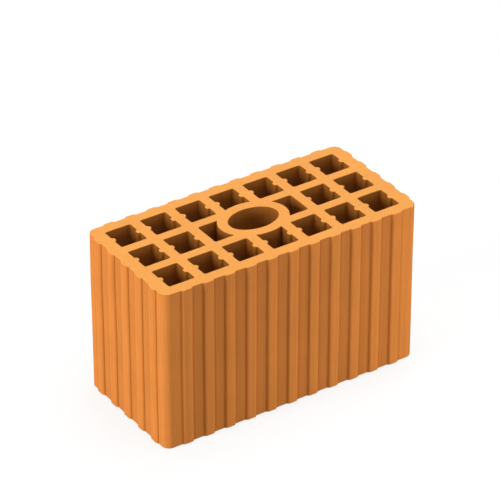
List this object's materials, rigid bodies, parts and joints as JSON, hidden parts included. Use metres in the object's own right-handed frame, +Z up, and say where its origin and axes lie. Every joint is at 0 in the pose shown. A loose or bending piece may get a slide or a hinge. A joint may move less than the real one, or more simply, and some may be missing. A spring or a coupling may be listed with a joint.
{
  "type": "perforated clay brick",
  "caption": "Extruded terracotta brick with rows of ribbed vertical cells, an oval grip hole and fluted sides, for laying masonry walls.",
  "frame": {"origin": "middle of the lower bed face, on the floor that the brick stands on", "axes": "+X along the length, +Y across the width, +Z up along the cells"},
  "size_m": [0.252, 0.12, 0.15],
  "materials": {
    "fired_clay": "matte"
  },
  "bodies": {
    "root": {"brick": "fired_clay"}
  },
  "joints": []
}
